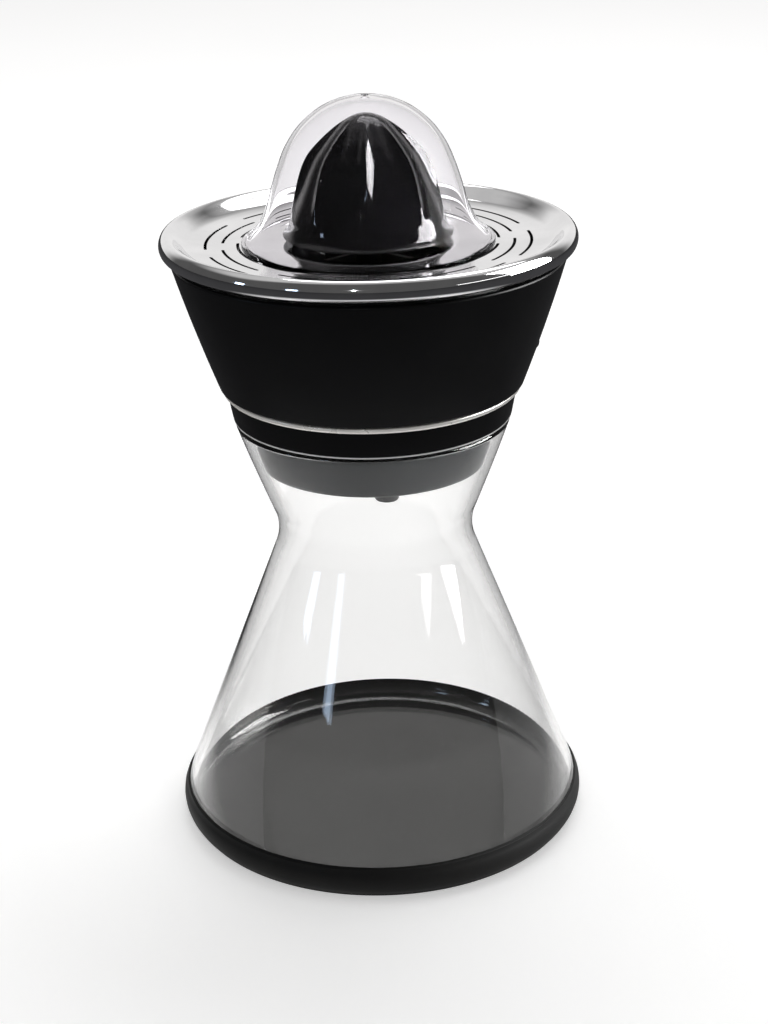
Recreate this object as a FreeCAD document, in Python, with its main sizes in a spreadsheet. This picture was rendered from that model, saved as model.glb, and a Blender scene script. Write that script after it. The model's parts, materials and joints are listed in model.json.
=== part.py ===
import FreeCAD, Part
import Sketcher
import math
import os

# Citrus press: a motor head with a reamer cone on a glass carafe.
# Millimetres. The origin is the middle of the base, +Z is up and the front faces -Y.

DRIVING_SIZES = {
    # rubber foot and glass carafe
    "foot_radius": 76.0,
    "foot_lip_radius": 77.1,
    "foot_height": 11.8,
    "foot_floor": 1.5,
    "foot_bulge": 9.5,
    "glass_wall": 3.0,
    "glass_gap": 0.1,
    "glass_corner": 8.0,
    "glass_corner_inside": 5.0,
    "flank_angle": 21.5,
    "flank_foot_radius": 76.5,
    "flare_angle": 22.3,
    "neck_radius": 36.6,
    "neck_height": 117.7,
    "neck_rounding": 22.0,
    "mouth_radius": 51.4,
    "mouth_height": 162.0,
    "flare_rounding": 500.0,
    # motor head, outside
    "gasket_thickness": 0.55,
    "collar_foot_radius": 51.6,
    "collar_top_radius": 53.4,
    "collar_top": 171.3,
    "band_radius": 54.4,
    "band_top": 174.9,
    "housing_foot_radius": 56.0,
    "housing_top_radius": 71.6,
    "housing_top": 222.6,
    "housing_curve": 630.0,
    "housing_wall": 2.5,
    "plug_bottom": 143.6,
    "plug_wall": 2.0,
    "plug_radius": 46.0,
    "plug_foot_radius": 41.5,
    "plug_rounding": 5.0,
    "post_radius": 3.4,
    "post_circle": 36.3,
    "screw_radius": 1.2,
    "screw_head": 2.4,
    # juice bowl, drain and nozzle
    "bowl_radius": 68.8,
    "bowl_wall": 2.0,
    "bowl_channel": 206.4,
    "tower_radius": 8.8,
    "tower_top": 226.2,
    "drain_x": 4.2,
    "drain_y": -31.0,
    "drain_bore": 3.0,
    "drain_radius": 4.25,
    "nozzle_bottom": 139.9,
    # deck, motor and gears
    "deck_bottom": 166.0,
    "deck_thickness": 2.5,
    "deck_radius": 50.0,
    "motor_x": 0.0,
    "motor_y": 27.0,
    "motor_radius": 16.0,
    "motor_length": 26.0,
    "motor_wall": 1.2,
    "motor_nose_radius": 4.0,
    "magnet_angle": 140.0,
    "motor_shaft_radius": 1.5,
    "motor_screw_circle": 10.0,
    "rotor_radius": 10.0,
    "idler_one_x": 14.29,
    "idler_one_y": 16.06,
    "idler_two_x": 21.55,
    "idler_two_y": -1.386,
    "axle_radius": 1.5,
    "running_gap": 0.06,
    "pinion_teeth": 10,
    "idler_one_wheel_teeth": 50,
    "idler_one_pinion_teeth": 12,
    "idler_two_wheel_teeth": 42,
    "idler_two_pinion_teeth": 12,
    "output_teeth": 36,
    "first_module": 0.6,
    "second_module": 0.7,
    "third_module": 0.9,
    "tooth_width_share": 0.4,
    "first_layer": 157.5,
    "second_layer": 152.5,
    "third_layer": 147.6,
    "gear_thickness": 4.0,
    "hub_radius": 5.2,
    "hub_top": 170.5,
    "hub_hex_radius": 3.12,
    "idler_hub_radius": 3.2,
    "rotor_slots": 9,
    "bush_radius": 7.55,
    "bush_flange_radius": 9.4,
    "bush_flange_height": 2.4,
    # spindle, spring and switch
    "spindle_lower_radius": 3.0,
    "spindle_radius": 4.0,
    "spindle_foot": 149.4,
    "spindle_hex_top": 172.4,
    "spindle_collar_radius": 6.0,
    "shoulder_height": 184.0,
    "spindle_top": 240.0,
    "spring_radius": 6.6,
    "spring_wire": 0.6,
    "spring_turns": 4.5,
    "cup_bottom": 179.2,
    "lever_pivot_x": -31.0,
    # strainer, cone and lid
    "rim_radius": 75.0,
    "rim_crest": 231.8,
    "rim_foot": 223.9,
    "dish_height": 227.3,
    "dish_low": 225.6,
    "steel": 0.8,
    "strainer_hole": 11.0,
    "slot_width": 1.6,
    "slot_arc": 33.0,
    "slots_in_row": 8,
    "slot_row_one": 46.8,
    "slot_row_two": 52.4,
    "slot_row_three": 58.4,
    "cone_radius": 30.6,
    "cone_base": 229.2,
    "cone_tip": 272.1,
    "cone_wall": 2.4,
    "cone_ribs": 8,
    "rib_width": 3.6,
    "cone_socket_fin": 21.6,
    "cone_fin_height": 9.0,
    "lid_top": 278.4,
    "lid_wall": 1.8,
    "lid_foot_radius": 45.6,
    "lid_foot": 226.45,
    "lid_vent_radius": 1.0,
    # cord gland
    "gland_angle": 12.0,
    "gland_height": 185.0,
    "gland_radius": 4.6,
    "gland_bore": 3.0,
}

doc = FreeCAD.newDocument("citrus_press")
sheet = doc.addObject("Spreadsheet::Sheet", "Sizes")
sub_parts = []


class Size:
    """A number together with the spreadsheet expression that drives it."""

    def __init__(self, value, text):
        self.value = value
        self.text = text

    def __add__(self, other):
        return combined(self, other, "+")

    def __radd__(self, other):
        return combined(other, self, "+")

    def __sub__(self, other):
        return combined(self, other, "-")

    def __rsub__(self, other):
        return combined(other, self, "-")

    def __mul__(self, other):
        return combined(self, other, "*")

    def __rmul__(self, other):
        return combined(other, self, "*")

    def __truediv__(self, other):
        return combined(self, other, "/")

    def __neg__(self):
        return combined(0.0, self, "-")


def as_size(number):
    if isinstance(number, Size):
        return number
    return Size(float(number), repr(float(number)))


def combined(left, right, sign):
    left = as_size(left)
    right = as_size(right)
    if sign == "+":
        value = left.value + right.value
    elif sign == "-":
        value = left.value - right.value
    elif sign == "*":
        value = left.value * right.value
    else:
        value = left.value / right.value
    return Size(value, "({} {} {})".format(left.text, sign, right.text))


def sine(angle):
    angle = as_size(angle)
    return Size(math.sin(math.radians(angle.value)), "sin({} * 1 deg)".format(angle.text))


def cosine(angle):
    angle = as_size(angle)
    return Size(math.cos(math.radians(angle.value)), "cos({} * 1 deg)".format(angle.text))


def tangent(angle):
    angle = as_size(angle)
    return Size(math.tan(math.radians(angle.value)), "tan({} * 1 deg)".format(angle.text))


def fill_sheet():
    for row, (name, value) in enumerate(DRIVING_SIZES.items(), start=1):
        sheet.set("A{}".format(row), name)
        sheet.set("B{}".format(row), str(value))
        sheet.setAlias("B{}".format(row), name)
    doc.recompute()


def size(name):
    return Size(float(sheet.get(name)), "Sizes.{}".format(name))


# ---------------------------------------------------------------- drawing helpers

def new_body(label):
    body = doc.addObject("PartDesign::Body", label)
    body.Label = label
    sub_parts.append(body)
    return body


def origin_plane(body, role):
    for feature in body.Origin.OriginFeatures:
        if feature.Role == role:
            return feature
    raise ValueError(role)


def arc_between(start, end, radius):
    """The shorter arc from start to end; its centre is on the left when radius is positive."""
    chord = end - start
    middle = (start + end) * 0.5
    height = math.sqrt(max(radius * radius - chord.Length ** 2 / 4.0, 0.0))
    left = FreeCAD.Vector(-chord.y, chord.x, 0).normalize()
    centre = middle + left * math.copysign(height, radius)
    circle = Part.Circle(centre, FreeCAD.Vector(0, 0, 1), abs(radius))
    start_angle = math.atan2(start.y - centre.y, start.x - centre.x)
    end_angle = math.atan2(end.y - centre.y, end.x - centre.x)
    if radius > 0:
        return Part.ArcOfCircle(circle, start_angle, end_angle)
    return Part.ArcOfCircle(circle, end_angle, start_angle)


def add_outline(sketch, corners):
    """Closed outline. A corner is (x, y), or (x, y, radius) when an arc leads to the next one."""
    count = len(corners)
    first = sketch.GeometryCount
    ends = []
    for index, corner in enumerate(corners):
        following = corners[(index + 1) % count]
        start = FreeCAD.Vector(as_size(corner[0]).value, as_size(corner[1]).value, 0)
        end = FreeCAD.Vector(as_size(following[0]).value, as_size(following[1]).value, 0)
        if len(corner) == 3:
            radius = as_size(corner[2])
            number = sketch.addGeometry(arc_between(start, end, radius.value), False)
            place = sketch.addConstraint(Sketcher.Constraint("Radius", number, abs(radius.value)))
            text = radius.text
            if radius.value < 0:
                text = "-1 * {}".format(text)
            sketch.setExpression("Constraints[{}]".format(place), text)
            ends.append((1, 2) if radius.value > 0 else (2, 1))
        else:
            sketch.addGeometry(Part.LineSegment(start, end), False)
            ends.append((1, 2))
    for index, corner in enumerate(corners):
        number = first + index
        following = (index + 1) % count
        sketch.addConstraint(Sketcher.Constraint(
            "Coincident", number, ends[index][1], first + following, ends[following][0]))
        pin_point(sketch, number, ends[index][0], corner)


def pin_point(sketch, number, end, corner):
    """Holds one end of a line or arc at its place, bound to the sheet."""
    for kind, axis, coordinate in (("DistanceX", -2, corner[0]), ("DistanceY", -1, corner[1])):
        coordinate = as_size(coordinate)
        if coordinate.value == 0.0:
            sketch.addConstraint(Sketcher.Constraint("PointOnObject", number, end, axis))
            continue
        place = sketch.addConstraint(Sketcher.Constraint(kind, number, end, coordinate.value))
        sketch.setExpression("Constraints[{}]".format(place), coordinate.text)


def new_sketch(body, name, role, offset=None):
    sketch = body.newObject("Sketcher::SketchObject", name)
    sketch.AttachmentSupport = (origin_plane(body, role), [""])
    sketch.MapMode = "FlatFace"
    if offset is not None:
        sketch.setExpression("AttachmentOffset.Base.z", as_size(offset).text)
    return sketch


def turn(body, corners, name="shell"):
    """A revolution of an (r, z) outline about the body's own Z axis."""
    sketch = new_sketch(body, "{}_{}_outline".format(body.Name, name), "XZ_Plane")
    add_outline(sketch, corners)
    feature = body.newObject("PartDesign::Revolution", "{}_{}".format(body.Name, name))
    feature.Profile = sketch
    feature.ReferenceAxis = (sketch, ["V_Axis"])
    feature.Angle = 360
    sketch.Visibility = False
    return feature


def pad(body, corners, bottom, height, name="block"):
    sketch = new_sketch(body, "{}_{}_outline".format(body.Name, name), "XY_Plane", bottom)
    add_outline(sketch, corners)
    feature = body.newObject("PartDesign::Pad", "{}_{}".format(body.Name, name))
    feature.Profile = sketch
    feature.setExpression("Length", as_size(height).text)
    return feature


def bore(body, x, y, radius, bottom, height, name="bore"):
    """A round hole that rises from bottom by height."""
    sketch = new_sketch(body, "{}_{}_circle".format(body.Name, name), "XY_Plane", bottom)
    x = as_size(x)
    y = as_size(y)
    radius = as_size(radius)
    centre = FreeCAD.Vector(x.value, y.value, 0)
    circle = Part.Circle(centre, FreeCAD.Vector(0, 0, 1), radius.value)
    number = sketch.addGeometry(circle, False)
    place = sketch.addConstraint(Sketcher.Constraint("Radius", number, radius.value))
    sketch.setExpression("Constraints[{}]".format(place), radius.text)
    pin_point(sketch, number, 3, (x, y))
    feature = body.newObject("PartDesign::Pocket", "{}_{}".format(body.Name, name))
    feature.Profile = sketch
    feature.Reversed = True
    feature.setExpression("Length", as_size(height).text)
    return feature


def polar_copies(body, feature, count):
    """Repeats a feature round the body's Z axis."""
    pattern = body.newObject("PartDesign::PolarPattern", "{}_pattern".format(feature.Name))
    pattern.Originals = [feature]
    pattern.Axis = (feature.Profile[0], ["N_Axis"])
    pattern.Angle = 360
    pattern.setExpression("Occurrences", count.text)
    body.Tip = pattern
    return pattern


def place_at(body, x=0.0, y=0.0):
    body.setExpression("Placement.Base.x", as_size(x).text)
    body.setExpression("Placement.Base.y", as_size(y).text)


def ring(label, inner, outer, bottom, top, x=0.0, y=0.0):
    """A plain turned ring, or a disc when inner is zero."""
    body = new_body(label)
    turn(body, [(inner, bottom), (outer, bottom), (outer, top), (inner, top)])
    place_at(body, x, y)
    return body


def hexagon(circumradius):
    return [(cosine(60 * step) * circumradius, sine(60 * step) * circumradius)
            for step in range(6)]


def shape_part(label, shape):
    """A sub-part whose form needs Part's own functions; its sizes come from the sheet."""
    feature = doc.addObject("Part::Feature", label)
    feature.Label = label
    feature.Shape = shape
    sub_parts.append(feature)
    return feature


def cylinder(radius, bottom, top, x=0.0, y=0.0):
    return Part.makeCylinder(radius, top - bottom, FreeCAD.Vector(x, y, bottom))


def box(x_low, x_high, y_low, y_high, z_low, z_high):
    corner = FreeCAD.Vector(x_low, y_low, z_low)
    return Part.makeBox(x_high - x_low, y_high - y_low, z_high - z_low, corner)


# ---------------------------------------------------------------- carafe

def flank_radius(height):
    """Outer radius of the carafe's lower cone."""
    rise = height - size("foot_height")
    return size("flank_foot_radius") - tangent(size("flank_angle")) * rise


def corner_reach():
    """How far a fillet of radius one reaches between the floor and the flank."""
    return tangent((90.0 + size("flank_angle")) / 2.0)


def carafe():
    body = new_body("carafe")
    flank = size("flank_angle")
    flare = size("flare_angle")
    wall = size("glass_wall")
    neck_z = size("neck_height")
    neck_centre = size("neck_radius") + size("neck_rounding")
    outside = size("neck_rounding")
    inside = size("neck_rounding") + wall
    mouth = size("mouth_radius")
    lip = wall / 2.0 + 0.05
    lip_z = size("mouth_height") - lip

    floor_z = size("foot_floor") + size("glass_gap")
    reach = corner_reach() * size("glass_corner")
    floor_edge = flank_radius(floor_z) - reach
    flank_start_r = flank_radius(floor_z + cosine(flank) * reach)

    inner_floor = floor_z + wall
    wall_across = wall / cosine(flank)
    reach_in = corner_reach() * size("glass_corner_inside")
    inner_edge = flank_radius(inner_floor) - wall_across - reach_in
    inner_start_z = inner_floor + cosine(flank) * reach_in
    inner_start_r = flank_radius(inner_start_z) - wall_across
    turn(body, [
        (0.0, floor_z),
        (floor_edge, floor_z, size("glass_corner")),
        (flank_start_r, floor_z + cosine(flank) * reach),
        (neck_centre - cosine(flank) * outside, neck_z - sine(flank) * outside, -outside),
        (neck_centre - cosine(flare) * outside, neck_z + sine(flare) * outside,
         size("flare_rounding")),
        (mouth, lip_z, lip * 1.05),
        (mouth - lip * 2.0, lip_z, -(size("flare_rounding") - wall)),
        (neck_centre - cosine(flare) * inside, neck_z + sine(flare) * inside, inside),
        (neck_centre - cosine(flank) * inside, neck_z - sine(flank) * inside),
        (inner_start_r, inner_start_z, -size("glass_corner_inside")),
        (inner_edge, inner_floor),
        (0.0, inner_floor),
    ])


def base_ring():
    body = new_body("base_ring")
    floor_z = size("foot_floor")
    gap = size("glass_gap")
    corner = size("glass_corner")
    floor_edge = flank_radius(floor_z + gap) - corner_reach() * corner
    seat = corner + gap
    top = size("foot_height")
    turn(body, [
        (0.0, 0.0),
        (size("foot_radius"), 0.0, size("foot_bulge")),
        (size("foot_lip_radius"), top),
        (floor_edge + seat - 0.3, top, -seat),
        (floor_edge, floor_z),
        (0.0, floor_z),
    ])


# ---------------------------------------------------------------- motor head shells

def seat_gasket():
    bottom = size("mouth_height") + 0.05
    outer = size("mouth_radius") - 0.3
    ring("seat_gasket", size("plug_radius") + 0.9, outer, bottom, bottom + size("gasket_thickness"))


def collar():
    body = new_body("collar")
    bottom = size("mouth_height") + 0.05 + size("gasket_thickness")
    ledge = size("deck_bottom")
    bore_r = size("plug_radius") + 0.9
    spigot = size("collar_top_radius") - 1.2
    deck = size("deck_radius") + 0.1
    spigot_top = size("band_top") + 2.6
    turn(body, [
        (bore_r, bottom),
        (size("collar_foot_radius"), bottom),
        (size("collar_top_radius"), size("collar_top")),
        (spigot, size("collar_top")),
        (spigot, spigot_top),
        (deck, spigot_top),
        (deck, ledge),
        (bore_r, ledge),
    ])


def trim_band():
    body = new_body("trim_band")
    inner = size("collar_top_radius") - 1.15
    turn(body, [
        (inner, size("collar_top") + 0.05),
        (size("band_radius"), size("collar_top") + 0.05),
        (size("band_radius") + 0.8, size("band_top")),
        (inner, size("band_top")),
    ])


def housing():
    body = new_body("housing")
    foot = size("band_top") + 0.05
    top = size("housing_top")
    top_r = size("housing_top_radius")
    foot_r = size("housing_foot_radius")
    wall = size("housing_wall")
    seat = size("bowl_radius") + 0.15
    turn(body, [
        (foot_r - wall, foot),
        (foot_r, foot, size("housing_curve")),
        (top_r, top),
        (seat, top),
        (seat, top - 2.0),
        (seat - 2.6, top - 2.0),
        (seat - 2.6, top - 4.0),
        (seat - 1.3, top - 5.6, -(size("housing_curve") - wall)),
    ])
    angle = size("gland_angle").value
    sketch = new_sketch(body, "housing_gland_hole_circle", "XZ_Plane")
    height = size("gland_height")
    hole = size("gland_radius") - 1.0
    circle = Part.Circle(FreeCAD.Vector(0, height.value, 0), FreeCAD.Vector(0, 0, 1), hole.value)
    number = sketch.addGeometry(circle, False)
    place = sketch.addConstraint(Sketcher.Constraint("Radius", number, hole.value))
    sketch.setExpression("Constraints[{}]".format(place), hole.text)
    pin_point(sketch, number, 3, (0.0, height))
    sketch.AttachmentOffset = FreeCAD.Placement(
        FreeCAD.Vector(0, 0, 0), FreeCAD.Rotation(FreeCAD.Vector(0, 1, 0), 90.0 + angle))
    pocket = body.newObject("PartDesign::Pocket", "housing_gland_hole")
    pocket.Profile = sketch
    pocket.Reversed = True
    pocket.setExpression("Length", (top_r + wall).text)


def plug_cover():
    body = new_body("plug_cover")
    wall = size("plug_wall")
    top = size("deck_bottom") - 0.1
    radius = size("plug_radius")
    foot = size("plug_foot_radius")
    bottom = size("plug_bottom")
    rounding = size("plug_rounding")
    shoulder = size("mouth_height") - 4.0
    turn(body, [
        (0.0, bottom),
        (foot - rounding, bottom, rounding),
        (foot, bottom + rounding),
        (radius, shoulder),
        (radius + 0.7, shoulder + 3.5),
        (radius + 0.7, top),
        (radius - wall, top),
        (radius - wall, shoulder + 0.6),
        (foot - wall, bottom + rounding + 0.6, -(rounding - wall)),
        (foot - rounding, bottom + wall),
        (0.0, bottom + wall),
    ])
    hole = size("drain_radius") + 0.05
    bore(body, size("drain_x"), size("drain_y"), hole, bottom - 1.0, wall + 2.0, "nozzle_hole")
    for number, (x, y) in enumerate(post_places()):
        post = [(x - size("post_radius"), y, size("post_radius") * 1.02),
                (x + size("post_radius"), y, size("post_radius") * 1.02)]
        pad(body, post, bottom + wall - 0.5, top - bottom - wall + 0.5, "post_{}".format(number))
        bore(body, x, y, size("screw_radius") + 0.02, top - 9.0, 10.0, "post_hole_{}".format(number))


def post_places():
    """Middles of the three screw posts that tie the plug cover to the deck."""
    places = []
    for angle in (150.0, 225.0, 308.0):
        places.append((cosine(angle) * size("post_circle"), sine(angle) * size("post_circle")))
    return places


def motor_screw_places():
    """Middles of the two motor screws."""
    reach = size("motor_screw_circle")
    return [(size("motor_x") - reach, size("motor_y")), (size("motor_x") + reach, size("motor_y"))]


# ---------------------------------------------------------------- juice path

def juice_bowl():
    body = new_body("juice_bowl")
    wall = size("bowl_wall")
    top = size("housing_top") - 0.2
    rim = size("bowl_radius")
    channel = size("bowl_channel")
    tower = size("tower_radius")
    tower_top = size("tower_top")
    bush = size("spindle_radius") + 2.5
    throat = size("spindle_radius") + 0.6
    turn(body, [
        (rim, top - 1.7),
        (rim, top),
        (rim - 5.2, top),
        (33.6, channel),
        (28.4, channel),
        (12.0, channel + 3.8),
        (tower, channel + 5.6),
        (tower, tower_top),
        (bush, tower_top),
        (bush, tower_top - 4.4),
        (throat, tower_top - 4.4),
        (throat, tower_top - 12.0),
        (bush, tower_top - 12.0),
        (bush, channel - 1.2),
        (11.0, channel - 1.2),
        (11.0, channel + 1.8),
        (28.0, channel - wall),
        (34.2, channel - wall),
        (rim - 4.6, top - 1.7),
    ])
    bore(body, size("drain_x"), size("drain_y"), size("drain_bore"),
         channel - wall - 1.0, wall + 3.0, "drain_hole")


def drain_tube():
    wall_r = size("drain_radius")
    ring("drain_tube", size("drain_bore"), wall_r, size("plug_bottom") + size("plug_wall") + 2.6,
         size("bowl_channel") - size("bowl_wall") - 0.05, size("drain_x"), size("drain_y"))


def drip_nozzle():
    body = new_body("drip_nozzle")
    bottom = size("nozzle_bottom")
    outer = size("drain_radius")
    bore_r = size("drain_bore")
    seat = size("plug_bottom") + size("plug_wall") + 0.05
    turn(body, [
        (bore_r, bottom),
        (outer - 0.6, bottom),
        (outer, bottom + 0.6),
        (outer, seat),
        (outer + 1.6, seat),
        (outer + 1.6, seat + 2.5),
        (bore_r, seat + 2.5),
    ])
    place_at(body, size("drain_x"), size("drain_y"))


# ---------------------------------------------------------------- deck, motor and gears

def deck_plate():
    body = new_body("deck_plate")
    bottom = size("deck_bottom")
    thick = size("deck_thickness")
    bush_hole = size("bush_radius") + 0.05
    turn(body, [
        (bush_hole, bottom),
        (size("deck_radius"), bottom),
        (size("deck_radius"), bottom + thick),
        (bush_hole, bottom + thick),
    ])
    hole = size("drain_radius") + 0.6
    low = bottom - 1.0
    depth = thick + 2.0
    axle = size("axle_radius")
    bore(body, size("drain_x"), size("drain_y"), hole, low, depth, "drain_pass")
    nose = size("motor_nose_radius") + 0.2
    bore(body, size("motor_x"), size("motor_y"), nose, low, depth, "motor_nose_hole")
    bore(body, size("idler_one_x"), size("idler_one_y"), axle, low, depth, "axle_hole_one")
    bore(body, size("idler_two_x"), size("idler_two_y"), axle, low, depth, "axle_hole_two")
    screw_r = size("screw_radius") + 0.02
    for number, (x, y) in enumerate(post_places() + motor_screw_places()):
        bore(body, x, y, screw_r, low, depth, "screw_hole_{}".format(number))


def motor():
    x = size("motor_x")
    y = size("motor_y")
    floor_z = size("deck_bottom") + size("deck_thickness") + 0.05
    top = floor_z + size("motor_length")
    outer = size("motor_radius")
    wall = size("motor_wall")
    shaft = size("motor_shaft_radius")
    gap = size("running_gap")

    can = new_body("motor_can")
    turn(can, [
        (shaft + 1.7, floor_z - 2.0),
        (size("motor_nose_radius"), floor_z - 2.0),
        (size("motor_nose_radius"), floor_z),
        (outer, floor_z),
        (outer, top),
        (outer - wall, top),
        (outer - wall, floor_z + wall),
        (shaft + 1.7, floor_z + wall),
    ])
    screw_r = size("screw_radius") + 0.02
    for number, side in enumerate((-1.0, 1.0)):
        across = size("motor_screw_circle") * side
        bore(can, across, 0.0, screw_r, floor_z - 1.0, wall + 2.0, "screw_hole_{}".format(number))
    place_at(can, x, y)

    cap = new_body("motor_end_cap")
    turn(cap, [
        (shaft + gap, top + 0.05),
        (outer, top + 0.05),
        (outer, top + 2.2),
        (5.0, top + 2.2),
        (4.4, top + 4.4),
        (shaft + gap, top + 4.4),
    ])
    place_at(cap, x, y)

    ring("motor_bearing", shaft + gap, shaft + 1.65, floor_z - 1.9, floor_z + 2.4, x, y)

    magnets = []
    low = floor_z.value + 4.0
    high = top.value - 3.0
    outer_r = outer.value - wall.value - 0.05
    inner_r = size("rotor_radius").value + 1.0
    for turn_angle in (0.0, 180.0):
        shell = Part.makeCylinder(outer_r, high - low, FreeCAD.Vector(0, 0, low),
                                  FreeCAD.Vector(0, 0, 1), size("magnet_angle").value)
        hollow = cylinder(inner_r, low - 1.0, high + 1.0)
        magnet = shell.cut(hollow)
        magnet.rotate(FreeCAD.Vector(0, 0, 0), FreeCAD.Vector(0, 0, 1), turn_angle + 20.0)
        magnet.translate(FreeCAD.Vector(x.value, y.value, 0))
        magnets.append(magnet)
    shape_part("motor_magnets", Part.makeCompound(magnets))

    ring("motor_shaft", 0.0, shaft, size("first_layer") - 0.4, top + 5.2, x, y)
    rotor = ring("motor_rotor", shaft + 0.01, size("rotor_radius"), floor_z + 5.0, top - 4.0, x, y)
    slot = winding_slot(rotor, floor_z + 4.0)
    polar_copies(rotor, slot, size("rotor_slots"))


def winding_slot(body, bottom):
    """A winding slot cut in the rotor."""
    outer = size("rotor_radius")
    sketch = new_sketch(body, "motor_rotor_slot_outline", "XY_Plane", bottom)
    add_outline(sketch, [(outer - 3.6, -0.9), (outer + 1.0, -0.9),
                         (outer + 1.0, 0.9), (outer - 3.6, 0.9)])
    pocket = body.newObject("PartDesign::Pocket", "motor_rotor_slot")
    pocket.Profile = sketch
    pocket.Reversed = True
    pocket.setExpression("Length", size("motor_length").text)
    return pocket


def toothed_disc(teeth, module, bottom, height, phase):
    """A spur gear with straight-sided teeth; one tooth's middle is at the phase angle."""
    pitch = math.pi * module
    width_share = size("tooth_width_share").value
    pitch_r = teeth * module / 2.0
    tip_r = pitch_r + 0.85 * module
    root_r = pitch_r - 1.15 * module
    half_at_pitch = width_share * pitch / 2.0 / pitch_r
    half_at_tip = (width_share * pitch / 2.0 - 0.85 * module * math.tan(math.radians(20))) / tip_r
    half_at_root = (width_share * pitch / 2.0 + 0.7 * module * math.tan(math.radians(20))) / root_r
    outline = []
    for tooth in range(teeth):
        middle = phase + 2.0 * math.pi * tooth / teeth
        for radius, offset in ((root_r, -half_at_root), (pitch_r, -half_at_pitch),
                               (tip_r, -half_at_tip), (tip_r, half_at_tip),
                               (pitch_r, half_at_pitch), (root_r, half_at_root)):
            outline.append(FreeCAD.Vector(radius * math.cos(middle + offset),
                                          radius * math.sin(middle + offset), bottom))
    outline.append(outline[0])
    face = Part.Face(Part.makePolygon(outline))
    return face.extrude(FreeCAD.Vector(0, 0, height))


def gear_at(label, layers, bore_shape, x, y, extra=None):
    """Fuses gear layers into one gear and cuts its bore."""
    shape = layers[0]
    for layer in layers[1:]:
        shape = shape.fuse(layer)
    if extra is not None:
        shape = shape.fuse(extra)
    shape = shape.cut(bore_shape).removeSplitter()
    shape.translate(FreeCAD.Vector(x, y, 0))
    shape_part(label, shape)


def gear_train():
    motor_at = (size("motor_x").value, size("motor_y").value)
    one_at = (size("idler_one_x").value, size("idler_one_y").value)
    two_at = (size("idler_two_x").value, size("idler_two_y").value)
    first = size("first_layer").value
    second = size("second_layer").value
    third = size("third_layer").value
    thick = size("gear_thickness").value
    gap = size("running_gap").value
    axle = size("axle_radius").value
    module_one = size("first_module").value
    module_two = size("second_module").value
    module_three = size("third_module").value

    def heading(start, end):
        return math.atan2(end[1] - start[1], end[0] - start[0])

    def facing_gap(direction, teeth):
        """Phase that turns a gap, not a tooth, back toward the gear it meets."""
        return direction + math.pi + math.pi / teeth

    teeth = int(size("pinion_teeth").value)
    to_one = heading(motor_at, one_at)
    pinion = toothed_disc(teeth, module_one, first - 0.3, thick + 1.0, to_one)
    gear_at("motor_pinion", [pinion],
            cylinder(size("motor_shaft_radius").value + 0.01, first - 2.0, first + 8.0), *motor_at)

    teeth = int(size("idler_one_wheel_teeth").value)
    wheel = toothed_disc(teeth, module_one, first, thick, facing_gap(to_one, teeth))
    teeth = int(size("idler_one_pinion_teeth").value)
    to_two = heading(one_at, two_at)
    small = toothed_disc(teeth, module_two, second, first - second, to_two)
    hub_r = size("idler_hub_radius").value
    shoulder = cylinder(hub_r, third + 1.0, second)
    top_hub = cylinder(hub_r, first + thick, size("deck_bottom").value - 0.3)
    gear_at("idler_gear_one", [wheel, small, shoulder],
            cylinder(axle + gap, third - 2.0, size("deck_bottom").value), *one_at, extra=top_hub)

    teeth = int(size("idler_two_wheel_teeth").value)
    wheel = toothed_disc(teeth, module_two, second, thick, facing_gap(to_two, teeth))
    teeth = int(size("idler_two_pinion_teeth").value)
    to_output = heading(two_at, (0.0, 0.0))
    small = toothed_disc(teeth, module_three, third, second - third, to_output)
    gear_at("idler_gear_two", [wheel, small],
            cylinder(axle + gap, third - 2.0, size("deck_bottom").value), *two_at)

    teeth = int(size("output_teeth").value)
    wheel = toothed_disc(teeth, module_three, third, thick, facing_gap(to_output, teeth))
    hub = cylinder(size("hub_radius").value, third + thick, size("hub_top").value)
    hex_r = size("hub_hex_radius").value
    hub_hex = Part.makePolygon([
        FreeCAD.Vector(hex_r * math.cos(math.radians(60 * step)),
                       hex_r * math.sin(math.radians(60 * step)), third - 1.0)
        for step in range(7)])
    drive_bore = Part.Face(hub_hex).extrude(FreeCAD.Vector(0, 0, 40))
    gear_at("output_gear", [wheel, hub], drive_bore, 0.0, 0.0)

    for label, place in (("idler_axle_one", "idler_one"), ("idler_axle_two", "idler_two")):
        ring(label, 0.0, size("axle_radius"), size("plug_bottom") + size("plug_wall") + 0.05,
             size("deck_bottom") + size("deck_thickness"), size(place + "_x"), size(place + "_y"))
    ring("output_washer", 3.6, 8.0, size("plug_bottom") + size("plug_wall") + 0.05,
         size("third_layer") - 0.05)


def lower_bush():
    body = new_body("lower_bush")
    bore_r = size("hub_radius") + size("running_gap")
    low = size("deck_bottom") - 2.0
    high = size("deck_bottom") + size("deck_thickness")
    outer = size("bush_radius")
    flange = size("bush_flange_radius")
    top = high + size("bush_flange_height")
    turn(body, [
        (bore_r, low),
        (outer, low),
        (outer, high + 0.05),
        (flange, high + 0.05),
        (flange, top),
        (bore_r, top),
    ])


# ---------------------------------------------------------------- spindle, spring and switch

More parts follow.
